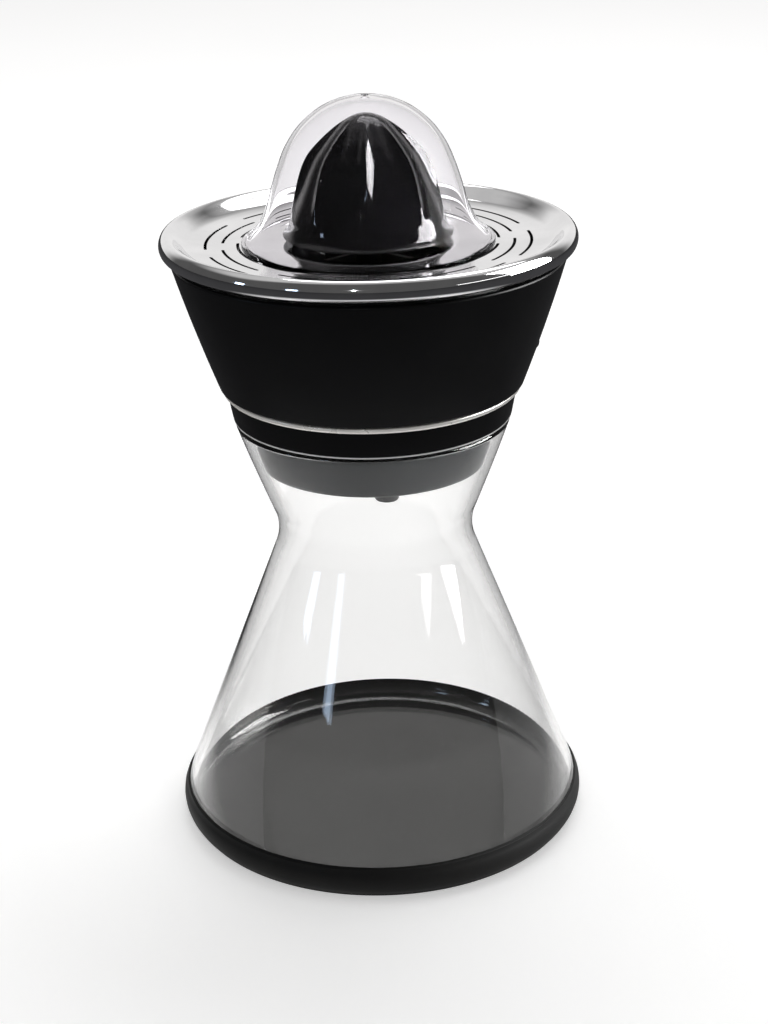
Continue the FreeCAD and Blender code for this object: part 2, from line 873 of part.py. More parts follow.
def drive_spindle():
    body = new_body("drive_spindle")
    foot = size("spindle_foot")
    shoulder = size("shoulder_height")
    lower = size("spindle_lower_radius")
    upper = size("spindle_radius")
    hex_foot = size("tower_top") + 0.6
    hex_top = size("spindle_hex_top")
    collar_r = size("spindle_collar_radius")
    pad(body, hexagon(lower), foot, hex_top - foot + 1.0, "lower_hex")
    turn(body, [
        (0.0, hex_top),
        (lower, hex_top),
        (lower, shoulder),
        (collar_r, shoulder),
        (collar_r, shoulder + 2.2),
        (upper, shoulder + 2.2),
        (upper, hex_foot),
        (0.0, hex_foot),
    ], "shaft")
    pad(body, hexagon(upper), hex_foot - 0.5, size("spindle_top") - hex_foot + 0.5, "upper_hex")


def thrust_cup():
    body = new_body("thrust_cup")
    bore_r = size("spindle_lower_radius") + size("running_gap")
    low = size("cup_bottom")
    top = size("shoulder_height") - 0.1
    turn(body, [
        (bore_r, low),
        (10.0, low),
        (10.0, low + 2.0),
        (5.4, low + 2.0),
        (5.4, top),
        (bore_r, top),
    ])


def return_spring():
    low = size("deck_bottom").value + size("deck_thickness").value + 2.5
    high = size("cup_bottom").value - 0.1
    wire = size("spring_wire").value
    radius = size("spring_radius").value
    height = high - low - 2.0 * wire
    path = Part.makeHelix(height / size("spring_turns").value, height, radius)
    section = Part.Wire(Part.makeCircle(wire, FreeCAD.Vector(radius, 0, 0), FreeCAD.Vector(0, 1, 0)))
    coil = Part.Wire(path.Edges).makePipeShell([section], True, True)
    coil.translate(FreeCAD.Vector(0, 0, low + wire))
    shape_part("return_spring", coil)


def upper_bush():
    upper = size("spindle_radius")
    top = size("tower_top") - 12.05
    ring("upper_bush", upper + size("running_gap"), upper + 2.45,
         size("bowl_channel") - 1.1, top)


def shaft_seal():
    upper = size("spindle_radius")
    ring("shaft_seal", upper + 0.1, upper + 2.45, size("tower_top") - 4.35, size("tower_top"))


def micro_switch():
    pivot = size("lever_pivot_x").value
    deck = size("deck_bottom").value + size("deck_thickness").value
    lever_z = size("cup_bottom").value - 1.0
    case = box(pivot - 4.0, pivot + 14.0, -3.2, 3.2, deck + 0.05, lever_z - 2.6)
    button = cylinder(1.1, lever_z - 2.6, lever_z - 0.8, pivot + 9.0, 0.0)
    cheeks = []
    for side in (-3.2, 2.2):
        cheeks.append(box(pivot - 2.6, pivot + 2.2, side, side + 1.0, lever_z - 2.6, lever_z + 1.2))
    pin = Part.makeCylinder(0.6, 6.4, FreeCAD.Vector(pivot, -3.2, lever_z - 0.4),
                            FreeCAD.Vector(0, 1, 0))
    shape = case.fuse([button, pin] + cheeks).removeSplitter()
    shape_part("micro_switch", shape)

    arm = box(pivot - 1.4, -8.4, -1.6, 1.6, lever_z, lever_z + 0.6)
    eye = Part.makeCylinder(1.2, 3.2, FreeCAD.Vector(pivot, -1.6, lever_z - 0.4),
                            FreeCAD.Vector(0, 1, 0))
    hole = Part.makeCylinder(0.66, 6.4, FreeCAD.Vector(pivot, -3.2, lever_z - 0.4),
                             FreeCAD.Vector(0, 1, 0))
    shape_part("switch_lever", arm.fuse(eye).cut(hole).removeSplitter())


# ---------------------------------------------------------------- strainer, cone and lid

def strainer():
    body = new_body("strainer")
    steel = size("steel")
    rim = size("rim_radius")
    crest = size("rim_crest")
    foot = size("rim_foot")
    flat = size("dish_height")
    low = size("dish_low")
    hole = size("strainer_hole")
    turn(body, [
        (hole, flat - steel),
        (34.0, flat - steel),
        (50.0, low - steel),
        (57.0, low - steel, 26.0),
        (rim - 6.2, crest - 2.0, -4.2),
        (rim - 3.0, crest - steel, -3.2),
        (rim - steel, crest - 4.0, -3.6),
        (rim - 3.6, foot + 0.5),
        (rim - 3.6, foot, 4.4),
        (rim, crest - 4.0, 4.0),
        (rim - 2.8, crest, 5.0),
        (rim - 6.4, crest - 1.1, -25.0),
        (57.0, low),
        (50.0, low),
        (34.0, flat),
        (hole, flat),
    ])
    turn_step = 0.0
    for name in ("slot_row_one", "slot_row_two", "slot_row_three"):
        slot = arc_slot(body, size(name), turn_step, name)
        polar_copies(body, slot, size("slots_in_row"))
        turn_step += 9.0


def arc_slot(body, radius, start_angle, name):
    """One long curved slot cut down through the dish."""
    half = size("slot_width") / 2.0
    inner = radius - half
    outer = radius + half
    end_angle = start_angle + size("slot_arc")
    sketch = new_sketch(body, "strainer_{}_outline".format(name), "XY_Plane", size("rim_crest"))
    add_outline(sketch, [
        (cosine(start_angle) * inner, sine(start_angle) * inner),
        (cosine(start_angle) * outer, sine(start_angle) * outer, outer),
        (cosine(end_angle) * outer, sine(end_angle) * outer),
        (cosine(end_angle) * inner, sine(end_angle) * inner, -inner),
    ])
    pocket = body.newObject("PartDesign::Pocket", "strainer_{}_slot".format(name))
    pocket.Profile = sketch
    pocket.setExpression("Length", (size("rim_crest") - size("dish_low") + 4.0).text)
    return pocket


def reamer_cone():
    body = new_body("reamer_cone")
    base = size("cone_base")
    radius = size("cone_radius")
    tip = size("cone_tip")
    wall = size("cone_wall")
    turn(body, [
        (radius - 3.2, base),
        (radius, base, 3.0),
        (radius - 0.6, base + 1.6, -40.0),
        (27.4, base + 8.4),
        (24.0, base + 19.0, 26.0),
        (7.0, tip - 5.0),
        (3.4, tip - 1.2),
        (0.0, tip),
        (0.0, tip - 3.2 - wall),
        (4.6, tip - 5.2 - wall, -24.0),
        (21.4, base + 19.0),
        (25.0, base + 6.4),
    ])
    ribs = new_sketch(body, "reamer_cone_rib_outline", "XZ_Plane")
    add_outline(ribs, [
        (1.6, tip - 4.4),
        (2.6, tip - 2.0),
        (4.4, tip - 1.7, -34.0),
        (25.4, base + 19.0),
        (28.4, base + 8.0),
        (26.6, base + 8.0),
        (22.6, base + 19.0, 25.0),
    ])
    rib = body.newObject("PartDesign::Pad", "reamer_cone_rib")
    rib.Profile = ribs
    rib.SideType = "Symmetric"
    rib.setExpression("Length", size("rib_width").text)
    pattern = body.newObject("PartDesign::PolarPattern", "reamer_cone_ribs")
    pattern.Originals = [rib]
    pattern.Axis = (ribs, ["V_Axis"])
    pattern.Angle = 360
    pattern.setExpression("Occurrences", size("cone_ribs").text)
    body.Tip = pattern


def cone_hub():
    body = new_body("cone_hub")
    base = size("cone_base")
    top = size("spindle_top") + 4.0
    turn(body, [
        (0.0, base - 0.8),
        (7.4, base - 0.8),
        (7.4, top - 1.0),
        (6.0, top),
        (0.0, top),
    ])
    for step in range(4):
        angle = 90.0 * step + 45.0
        fin = new_sketch(body, "cone_hub_fin_outline_{}".format(step), "XY_Plane", base + 2.0)
        fin.AttachmentOffset = FreeCAD.Placement(
            FreeCAD.Vector(0, 0, 0), FreeCAD.Rotation(FreeCAD.Vector(0, 0, 1), angle))
        fin.setExpression("AttachmentOffset.Base.z", (base + 2.0).text)
        reach = size("cone_socket_fin")
        add_outline(fin, [(6.0, -1.0), (reach, -1.0), (reach, 1.0), (6.0, 1.0)])
        feature = body.newObject("PartDesign::Pad", "cone_hub_fin_{}".format(step))
        feature.Profile = fin
        feature.setExpression("Length", size("cone_fin_height").text)
    sketch = new_sketch(body, "cone_hub_socket_outline", "XY_Plane", base - 1.8)
    add_outline(sketch, hexagon(size("spindle_radius") + 0.1))
    socket = body.newObject("PartDesign::Pocket", "cone_hub_socket")
    socket.Profile = sketch
    socket.Reversed = True
    socket.setExpression("Length", (size("spindle_top") + 0.2 - (base - 1.8)).text)


def lid():
    body = new_body("lid")
    wall = size("lid_wall")
    top = size("lid_top")
    foot = size("lid_foot")
    foot_r = size("lid_foot_radius")
    hole = size("lid_vent_radius")
    turn(body, [
        (hole, top - wall),
        (hole, top, -31.6),
        (30.0, top - 20.8, -90.0),
        (36.6, top - 40.0, 17.0),
        (foot_r - 1.4, foot + 2.6, -2.0),
        (foot_r, foot + 1.2),
        (foot_r, foot),
        (foot_r - 2.6, foot),
        (foot_r - 3.0, foot + 1.2, -15.0),
        (34.8, top - 40.2, 88.0),
        (28.4, top - 21.2, 30.0),
    ])


# ---------------------------------------------------------------- cord gland and fasteners

def turned_to_gland(shape):
    shape.rotate(FreeCAD.Vector(0, 0, 0), FreeCAD.Vector(0, 0, 1), size("gland_angle").value)
    return shape


def cord_gland():
    height = size("gland_height").value
    radius = size("gland_radius").value
    inner = size("gland_bore").value
    # housing surface at the gland, and the gland's flanges on both sides of the wall
    share = (height - size("band_top").value) / (size("housing_top").value - size("band_top").value)
    foot = size("housing_foot_radius").value
    surface = foot + share * (size("housing_top_radius").value - foot)
    axis = FreeCAD.Vector(1, 0, 0)
    neck = Part.makeCylinder(radius - 1.1, 12.5, FreeCAD.Vector(surface - 8.5, 0, height), axis)
    nose = Part.makeCone(radius + 0.3, radius - 0.6, 1.8,
                         FreeCAD.Vector(surface + 1.9, 0, height), axis)
    hole = Part.makeCylinder(inner, 30.0, FreeCAD.Vector(surface - 15.0, 0, height), axis)
    gland = neck.fuse(nose).cut(hole).removeSplitter()
    shape_part("cord_gland", turned_to_gland(gland))

    thickness = 3.0
    start = FreeCAD.Vector(surface - 8.4, 0, height)
    nut = Part.makeCylinder(radius + 1.6, thickness, start, axis)
    thread = Part.makeCylinder(radius - 1.05, thickness, start, axis)
    shape_part("gland_nut", turned_to_gland(nut.cut(thread)))


def terminal_block():
    deck = size("deck_bottom").value + size("deck_thickness").value + 0.05
    block = box(36.0, 45.0, -8.0, 8.0, deck, deck + 8.0)
    for y in (-5.0, 0.0, 5.0):
        block = block.cut(cylinder(1.6, deck + 3.0, deck + 9.0, 40.5, y))
    shape_part("terminal_block", turned_to_gland(block))


def screws(label, places, head_z, shank_z):
    """A group of equal screws; the head is at head_z and the shank reaches to shank_z."""
    radius = size("screw_radius").value
    head_radius = size("screw_head").value
    head_height = 1.5 * radius
    points_down = head_z > shank_z
    head_low = head_z if points_down else head_z - head_height
    slot_low = head_low + head_height - 0.7 if points_down else head_low - 0.1
    solids = []
    for x, y in places:
        head = cylinder(head_radius, head_low, head_low + head_height, x, y)
        shank = cylinder(radius, min(head_z, shank_z), max(head_z, shank_z), x, y)
        slot = box(x - head_radius, x + head_radius, y - 0.35, y + 0.35, slot_low, slot_low + 0.8)
        solids.append(head.fuse(shank).cut(slot).removeSplitter())
    shape_part(label, Part.makeCompound(solids))


def fasteners():
    deck = size("deck_bottom").value
    deck_top = deck + size("deck_thickness").value
    posts = [(x.value, y.value) for x, y in post_places()]
    screws("post_screws", posts, deck_top + 0.02, deck_top - 10.0)
    motor_places = [(x.value, y.value) for x, y in motor_screw_places()]
    screws("motor_screws", motor_places, deck - 0.02, deck_top + 1.2)


def save_parts():
    os.makedirs("parts", exist_ok=True)
    for part in sub_parts:
        if part.Shape.isNull() or not part.Shape.isValid():
            raise ValueError("bad shape: {}".format(part.Label))
        if not part.Shape.Solids:
            raise ValueError("no solid: {}".format(part.Label))
        part.Shape.exportStep("parts/{}.step".format(part.Label))


fill_sheet()
carafe()
base_ring()
seat_gasket()
collar()
trim_band()
housing()
plug_cover()
juice_bowl()
drain_tube()
drip_nozzle()
deck_plate()
motor()
gear_train()
lower_bush()
drive_spindle()
thrust_cup()
return_spring()
upper_bush()
shaft_seal()
micro_switch()
strainer()
reamer_cone()
cone_hub()
lid()
cord_gland()
terminal_block()
fasteners()
doc.recompute()
for item in doc.Objects:
    if "Invalid" in item.State or "Error" in item.State:
        raise ValueError("feature failed: {} {}".format(item.Name, item.State))
save_parts()
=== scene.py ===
import bpy
import json
import math
from mathutils import Matrix, Vector


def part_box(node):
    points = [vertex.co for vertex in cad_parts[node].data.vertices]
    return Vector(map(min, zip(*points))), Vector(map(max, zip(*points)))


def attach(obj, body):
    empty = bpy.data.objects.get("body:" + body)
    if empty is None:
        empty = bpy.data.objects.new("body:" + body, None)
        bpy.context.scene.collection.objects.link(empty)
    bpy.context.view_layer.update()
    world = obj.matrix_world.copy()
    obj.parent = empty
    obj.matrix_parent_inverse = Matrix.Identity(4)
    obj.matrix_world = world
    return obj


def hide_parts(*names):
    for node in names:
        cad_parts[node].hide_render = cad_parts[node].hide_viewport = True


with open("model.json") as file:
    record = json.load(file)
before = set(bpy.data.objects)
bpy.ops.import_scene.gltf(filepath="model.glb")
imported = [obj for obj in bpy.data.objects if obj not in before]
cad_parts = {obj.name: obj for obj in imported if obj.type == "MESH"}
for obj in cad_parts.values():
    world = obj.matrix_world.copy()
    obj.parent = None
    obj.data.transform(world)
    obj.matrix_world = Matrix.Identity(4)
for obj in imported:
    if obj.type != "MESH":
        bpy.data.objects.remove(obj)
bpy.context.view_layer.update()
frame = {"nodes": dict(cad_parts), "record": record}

# Outlines are written in millimetres as (radius, height) and turned about the Z axis.
MM = 0.001
STEPS = 192          # segments round the large turned pieces
FINE_STEPS = 64      # segments round the small ones
RIBS = 8             # ribs of the reamer cone, and slots in each row of the strainer


def top_of(node):
    """Height of the node's top in millimetres."""
    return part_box(node)[1].z / MM


def bottom_of(node):
    """Height of the node's underside in millimetres."""
    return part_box(node)[0].z / MM


# ------------------------------------------------------------ outlines

def arc_points(start, end, bulge, count):
    """Points between start and end on an arc that bulges to the right of travel."""
    chord = end - start
    if abs(bulge) < 1e-6 or chord.length < 1e-6:
        return []
    half = chord.length / 2
    radius = (half * half + bulge * bulge) / (2 * abs(bulge))
    right = Vector((chord.y, -chord.x)).normalized()
    centre = (start + end) / 2 + right * (bulge - math.copysign(radius, bulge))
    sweep = 4 * math.atan(bulge / half)
    first = start - centre
    points = []
    for step in range(1, count):
        angle = sweep * step / count
        points.append(centre + Vector((first.x * math.cos(angle) - first.y * math.sin(angle),
                                       first.x * math.sin(angle) + first.y * math.cos(angle))))
    return points


def rounded_corner(before, place, after, fillet):
    """The points that replace a corner rounded to the fillet radius."""
    into = (place - before).normalized()
    out = (after - place).normalized()
    turn = into.angle(out)
    reach = fillet * math.tan(turn / 2)
    start = place - into * reach
    end = place + out * reach
    sagitta = math.copysign(fillet * (1 - math.cos(turn / 2)), into.cross(out))
    steps = max(4, round(math.degrees(turn) / 7))
    return [start] + arc_points(start, end, sagitta, steps) + [end]


def outline(corners, closed=True):
    """Turns corners into a run of points.

    A corner is (r, z), (r, z, fillet) or (r, z, fillet, bulge): the fillet rounds the corner
    and the bulge bows the run to the next corner out to the right of travel.
    """
    count = len(corners)
    places = [Vector(corner[:2]) for corner in corners]
    rounded = []
    for index, corner in enumerate(corners):
        fillet = corner[2] if len(corner) > 2 else 0.0
        is_end = not closed and index in (0, count - 1)
        if fillet <= 0 or is_end:
            rounded.append([places[index]])
        else:
            rounded.append(rounded_corner(places[index - 1], places[index],
                                          places[(index + 1) % count], fillet))
    points = []
    for index, corner in enumerate(corners):
        points += rounded[index]
        is_last = not closed and index == count - 1
        if len(corner) > 3 and not is_last:
            start = rounded[index][-1]
            end = rounded[(index + 1) % count][0]
            steps = min(36, max(6, round((end - start).length / 1.5)))
            points += arc_points(start, end, corner[3], steps)
    return points


def smooth_run(knots, steps):
    """A Catmull-Rom curve through the knots, with the same number of steps between each pair."""
    knots = [Vector(knot) for knot in knots]
    padded = [knots[0] * 2 - knots[1]] + knots + [knots[-1] * 2 - knots[-2]]
    points = []
    for index in range(1, len(padded) - 2):
        before, start, end, after = padded[index - 1:index + 3]
        for step in range(steps):
            t = step / steps
            points.append(0.5 * (2 * start + (end - before) * t
                                 + (2 * before - 5 * start + 4 * end - after) * t ** 2
                                 + (3 * start - before - 3 * end + after) * t ** 3))
    points.append(knots[-1])
    return points


def offset_run(points, distance):
    """The run moved sideways, to the left of travel when the distance is positive."""
    moved = []
    for index, point in enumerate(points):
        along = points[min(index + 1, len(points) - 1)] - points[max(index - 1, 0)]
        left = Vector((-along.y, along.x)).normalized()
        moved.append(point + left * distance)
    return moved


def shell_outline(points, wall):
    """Closed outline of a wall of even thickness on the left of a run, with rounded edges."""
    inner = offset_run(points, wall)
    lip_end = arc_points(points[-1], inner[-1], wall * 0.42, 8)
    lip_start = arc_points(inner[0], points[0], wall * 0.42, 8)
    return points + lip_end + inner[::-1] + lip_start


# ------------------------------------------------------------ meshes

def make_piece(name, vertices, faces, material, body, nodes=()):
    """A new mesh object that rides on a body and may stand for CAD nodes."""
    mesh = bpy.data.meshes.new(name)
    mesh.from_pydata([Vector(vertex) * MM for vertex in vertices], [], faces)
    mesh.validate()
    mesh.materials.append(material)
    for face in mesh.polygons:
        face.use_smooth = True
    mesh.set_sharp_from_angle(angle=math.radians(38))
    piece = bpy.data.objects.new(name, mesh)
    bpy.context.scene.collection.objects.link(piece)
    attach(piece, body)
    if nodes:
        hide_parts(*nodes)
    return piece


def turned_faces(points, steps, closed):
    """Vertices and faces of an outline turned about Z; points on the axis become poles."""
    vertices = []
    rings = []
    for point in points:
        first = len(vertices)
        if point.x < 1e-4:
            vertices.append((0.0, 0.0, point.y))
            rings.append([first])
            continue
        for step in range(steps):
            angle = 2 * math.pi * step / steps
            vertices.append((point.x * math.cos(angle), point.x * math.sin(angle), point.y))
        rings.append(list(range(first, first + steps)))
    pairs = list(zip(rings, rings[1:]))
    if closed:
        pairs.append((rings[-1], rings[0]))
    faces = []
    for low, high in pairs:
        if len(low) == 1 and len(high) == 1:
            continue
        for step in range(steps):
            following = (step + 1) % steps
            if len(low) == 1:
                faces.append((low[0], high[following], high[step]))
            elif len(high) == 1:
                faces.append((low[step], low[following], high[0]))
            else:
                faces.append((low[step], low[following], high[following], high[step]))
    return vertices, faces


def turned(name, points, material, body, nodes, steps=STEPS, closed=True,
           place=None):
    """A turned piece; place is a matrix in millimetres for one that isn't on the Z axis."""
    vertices, faces = turned_faces(points, steps, closed)
    if place is not None:
        vertices = [place @ Vector(vertex) for vertex in vertices]
    return make_piece(name, vertices, faces, material, body, nodes)


# ------------------------------------------------------------ material helpers

def start_material(name, colour, roughness, metallic=0.0):
    material = bpy.data.materials.new(name)
    material.use_nodes = True
    shader = material.node_tree.nodes["Principled BSDF"]
    shader.inputs["Base Color"].default_value = (*colour, 1.0)
    shader.inputs["Roughness"].default_value = roughness
    shader.inputs["Metallic"].default_value = metallic
    return material, material.node_tree, shader


def noise(tree, scale, detail=4.0, stretch=(1.0, 1.0, 1.0), rough=0.55):
    """Noise in the object's own coordinates, drawn out along an axis with a small stretch."""
    place = tree.nodes.new("ShaderNodeTexCoord")
    mapping = tree.nodes.new("ShaderNodeMapping")
    mapping.inputs["Scale"].default_value = stretch
    texture = tree.nodes.new("ShaderNodeTexNoise")
    texture.inputs["Scale"].default_value = scale
    texture.inputs["Detail"].default_value = detail
    texture.inputs["Roughness"].default_value = rough
    tree.links.new(place.outputs["Object"], mapping.inputs["Vector"])
    tree.links.new(mapping.outputs["Vector"], texture.inputs["Vector"])
    return texture.outputs["Fac"]


def turning_lines(tree, scale, detail):
    """Noise that changes only with the distance from the Z axis, as tool marks on a dish."""
    place = tree.nodes.new("ShaderNodeTexCoord")
    flat = tree.nodes.new("ShaderNodeVectorMath")
    flat.operation = "MULTIPLY"
    flat.inputs[1].default_value = (1.0, 1.0, 0.0)
    radius = tree.nodes.new("ShaderNodeVectorMath")
    radius.operation = "LENGTH"
    texture = tree.nodes.new("ShaderNodeTexNoise")
    texture.noise_dimensions = "1D"
    texture.inputs["Scale"].default_value = scale
    texture.inputs["Detail"].default_value = detail
    tree.links.new(place.outputs["Object"], flat.inputs[0])
    tree.links.new(flat.outputs["Vector"], radius.inputs[0])
    tree.links.new(radius.outputs["Value"], texture.inputs["W"])
    return texture.outputs["Fac"]


NOISE_LOW = 0.3       # nearly all of a noise texture's values lie between these two
NOISE_HIGH = 0.7


def spread(tree, value, low, high):
    """Maps a noise value to a range."""
    node = tree.nodes.new("ShaderNodeMapRange")
    node.inputs["From Min"].default_value = NOISE_LOW
    node.inputs["From Max"].default_value = NOISE_HIGH
    node.inputs["To Min"].default_value = low
    node.inputs["To Max"].default_value = high
    tree.links.new(value, node.inputs["Value"])
    return node.outputs["Result"]


def math_node(tree, operation, first, second):
    """A math node on two values, each a socket or a number."""
    node = tree.nodes.new("ShaderNodeMath")
    node.operation = operation
    for socket, value in zip(node.inputs, (first, second)):
        if isinstance(value, float):
            socket.default_value = value
        else:
            tree.links.new(value, socket)
    return node.outputs["Value"]


def smooth_ramp(tree, value, start, end, low, high):
    """Goes smoothly from low at the start value to high at the end value."""
    node = tree.nodes.new("ShaderNodeMapRange")
    node.interpolation_type = "SMOOTHSTEP"
    node.inputs["From Min"].default_value = start
    node.inputs["From Max"].default_value = end
    node.inputs["To Min"].default_value = low
    node.inputs["To Max"].default_value = high
    tree.links.new(value, node.inputs["Value"])
    return node.outputs["Result"]


def two_tone(tree, value, first, second):
    """Changes from the first colour to the second with a noise value."""
    node = tree.nodes.new("ShaderNodeValToRGB")
    low, high = node.color_ramp.elements
    low.position = 0.35
    low.color = (*first, 1.0)
    high.position = 0.65
    high.color = (*second, 1.0)
    tree.links.new(value, node.inputs["Fac"])
    return node.outputs["Color"]


def add_bumps(tree, shader, bumps):
    """Stacks bumps; each is (height value, strength, depth in metres)."""
    below = None
    for value, strength, depth in bumps:
        node = tree.nodes.new("ShaderNodeBump")
        node.inputs["Strength"].default_value = strength
        node.inputs["Distance"].default_value = depth
        tree.links.new(value, node.inputs["Height"])
        if below is not None:
            tree.links.new(below, node.inputs["Normal"])
        below = node.outputs["Normal"]
    tree.links.new(below, shader.inputs["Normal"])


# ------------------------------------------------------------ materials

def moulded(name, colour, lighter, roughness, smear=0.05, grain=1200.0, ior=1.45):
    """Moulded plastic: fine grain, handling marks and slightly uneven colour."""
    material, tree, shader = start_material(name, colour, roughness)
    shader.inputs["IOR"].default_value = ior
    fine = noise(tree, grain, 3.0)
    marks = noise(tree, 42.0, 6.0)
    wide = noise(tree, 11.0, 2.0)
    tree.links.new(two_tone(tree, wide, colour, lighter), shader.inputs["Base Color"])
    tree.links.new(spread(tree, marks, roughness - smear, roughness + smear),
                   shader.inputs["Roughness"])
    add_bumps(tree, shader, [(fine, 0.3, 0.00003), (marks, 0.1, 0.00004)])
    return material


def gloss_black():
    """High-gloss black plastic with the faint unevenness of a moulded surface."""
    material, tree, shader = start_material("cone_gloss_black", (0.005, 0.005, 0.006), 0.05)
    shader.inputs["IOR"].default_value = 1.5
    marks = noise(tree, 70.0, 6.0)
    swell = noise(tree, 60.0, 1.0)
    tree.links.new(two_tone(tree, marks, (0.004, 0.004, 0.005), (0.008, 0.008, 0.009)),
                   shader.inputs["Base Color"])
    tree.links.new(spread(tree, marks, 0.03, 0.085), shader.inputs["Roughness"])
    add_bumps(tree, shader, [(swell, 0.10, 0.0002)])
    return material


def clear(name, tint, deeper, ior, ripple):
    """Glass or clear plastic with a slight ripple and smears."""
    material, tree, shader = start_material(name, tint, 0.0)
    shader.inputs["Transmission Weight"].default_value = 1.0
    shader.inputs["IOR"].default_value = ior
    smear = noise(tree, 30.0, 5.0)
    swell = noise(tree, 18.0, 1.0)
    tree.links.new(two_tone(tree, swell, tint, deeper), shader.inputs["Base Color"])
    tree.links.new(spread(tree, smear, 0.0, 0.02), shader.inputs["Roughness"])
    add_bumps(tree, shader, [(swell, ripple, 0.0004)])
    return material


def rubber(name, colour, dusty):
    """Matte rubber with a fine grain and a trace of dust."""
    material, tree, shader = start_material(name, colour, 0.62)
    shader.inputs["IOR"].default_value = 1.26
    grain = noise(tree, 1300.0, 3.0)
    dust = noise(tree, 80.0, 8.0)
    wide = noise(tree, 18.0, 3.0)
    tree.links.new(two_tone(tree, dust, colour, dusty), shader.inputs["Base Color"])
    tree.links.new(spread(tree, wide, 0.52, 0.70), shader.inputs["Roughness"])
    add_bumps(tree, shader, [(dust, 0.15, 0.00006), (grain, 0.4, 0.00005)])
    return material


def worked_metal(name, colour, roughness, stretch, depth=0.00003, smear=0.05, metallic=1.0):
    """Metal with fine lines along the direction in which it was worked."""
    material, tree, shader = start_material(name, colour, roughness, metallic)
    darker = tuple(channel * 0.9 for channel in colour)
    lines = noise(tree, 40.0, 6.0, stretch, 0.7)
    marks = noise(tree, 60.0, 6.0)
    tree.links.new(two_tone(tree, lines, darker, colour), shader.inputs["Base Color"])
    tree.links.new(spread(tree, marks, roughness - smear, roughness + smear),
                   shader.inputs["Roughness"])
    add_bumps(tree, shader, [(lines, 0.25, depth), (marks, 0.06, depth)])
    return material


def polished_dish():
    """Spun steel polished to a mirror, with faint rings and wiping marks."""
    material, tree, shader = start_material("dish_polished_steel", (0.75, 0.75, 0.76), 0.07, 1.0)
    rings = turning_lines(tree, 2400.0, 4.0)
    marks = noise(tree, 52.0, 7.0)
    swell = noise(tree, 24.0, 1.5)
    tree.links.new(two_tone(tree, marks, (0.70, 0.70, 0.71), (0.79, 0.79, 0.80)),
                   shader.inputs["Base Color"])
    tree.links.new(spread(tree, marks, 0.03, 0.08), shader.inputs["Roughness"])
    add_bumps(tree, shader, [(rings, 0.05, 0.00001), (swell, 0.12, 0.0002)])
    return material


def make_materials():
    """One material for each material slot of the record."""
    along = (1.0, 1.0, 60.0)
    return {
        "clear_glass": clear("carafe_glass", (0.985, 0.985, 0.982), (0.975, 0.974, 0.972),
                             1.5, 0.08),
        "clear_plastic": clear("lid_clear_plastic", (0.90, 0.89, 0.905),
                               (0.885, 0.875, 0.89), 1.06, 0.08),
        "black_rubber": rubber("foot_rubber", (0.004, 0.004, 0.004), (0.007, 0.007, 0.0065)),
        "silicone": moulded("gasket_silicone", (0.72, 0.73, 0.73), (0.82, 0.83, 0.83), 0.4),
        "satin_black": moulded("housing_satin_black", (0.003, 0.003, 0.0035),
                               (0.005, 0.005, 0.0055), 0.33, ior=1.24),
        "satin_steel": worked_metal("band_brushed_steel", (0.97, 0.95, 0.91), 0.3, along,
                                    metallic=0.35),
        "grey_plastic": moulded("plug_grey_plastic", (0.007, 0.011, 0.014),
                                (0.010, 0.015, 0.018), 0.3, ior=1.2),
        "black_plastic": moulded("bowl_black_plastic", (0.012, 0.012, 0.012),
                                 (0.020, 0.020, 0.020), 0.36),
        "inner_plastic": moulded("inner_grey_plastic", (0.10, 0.10, 0.105),
                                 (0.13, 0.13, 0.135), 0.45),
        "zinc_steel": worked_metal("zinc_plated_steel", (0.62, 0.63, 0.66), 0.3,
                                   (1.0, 1.0, 10.0)),
        "bronze": worked_metal("sintered_bronze", (0.60, 0.40, 0.20), 0.38, (5.0, 5.0, 5.0),
                               0.00006),
        "ferrite": moulded("ferrite_magnet", (0.045, 0.045, 0.048), (0.06, 0.06, 0.062), 0.6),
        "shaft_steel": worked_metal("ground_steel", (0.70, 0.71, 0.73), 0.2, along),
        "lamination": worked_metal("lamination_steel", (0.36, 0.34, 0.32), 0.4, along, 0.00008),
        "gear_plastic": moulded("acetal_gear_plastic", (0.74, 0.73, 0.68), (0.80, 0.79, 0.75),
                                0.36),
        "polished_steel": polished_dish(),
        "gloss_black": gloss_black(),
        "terminal_plastic": moulded("terminal_cream_plastic", (0.66, 0.62, 0.52),
                                    (0.72, 0.69, 0.60), 0.4),
    }


# ------------------------------------------------------------ carafe and foot

NECK_RADIUS = 36.6
NECK_HEIGHT = 117.7
NECK_ROUNDING = 22.0
FLANK_ANGLE = math.radians(21.5)
FLARE_ANGLE = math.radians(22.3)
GLASS_WALL = 3.0
MOUTH_RADIUS = 51.4
FOOT_LIP = 11.8
FLANK_FOOT_RADIUS = 76.5


def flank_radius(height):
    """Radius of the carafe's straight flank at a height."""
    return FLANK_FOOT_RADIUS - math.tan(FLANK_ANGLE) * (height - FOOT_LIP)


def neck_point(angle, rounding):
    """A point on the neck's arc; the angle is measured up from level."""
    centre = NECK_RADIUS + NECK_ROUNDING
    return (centre - math.cos(angle) * rounding, NECK_HEIGHT + math.sin(angle) * rounding)


def neck_sagitta(rounding):
    """Height of the neck's arc over its chord."""
    return rounding * (1 - math.cos((FLANK_ANGLE + FLARE_ANGLE) / 2))


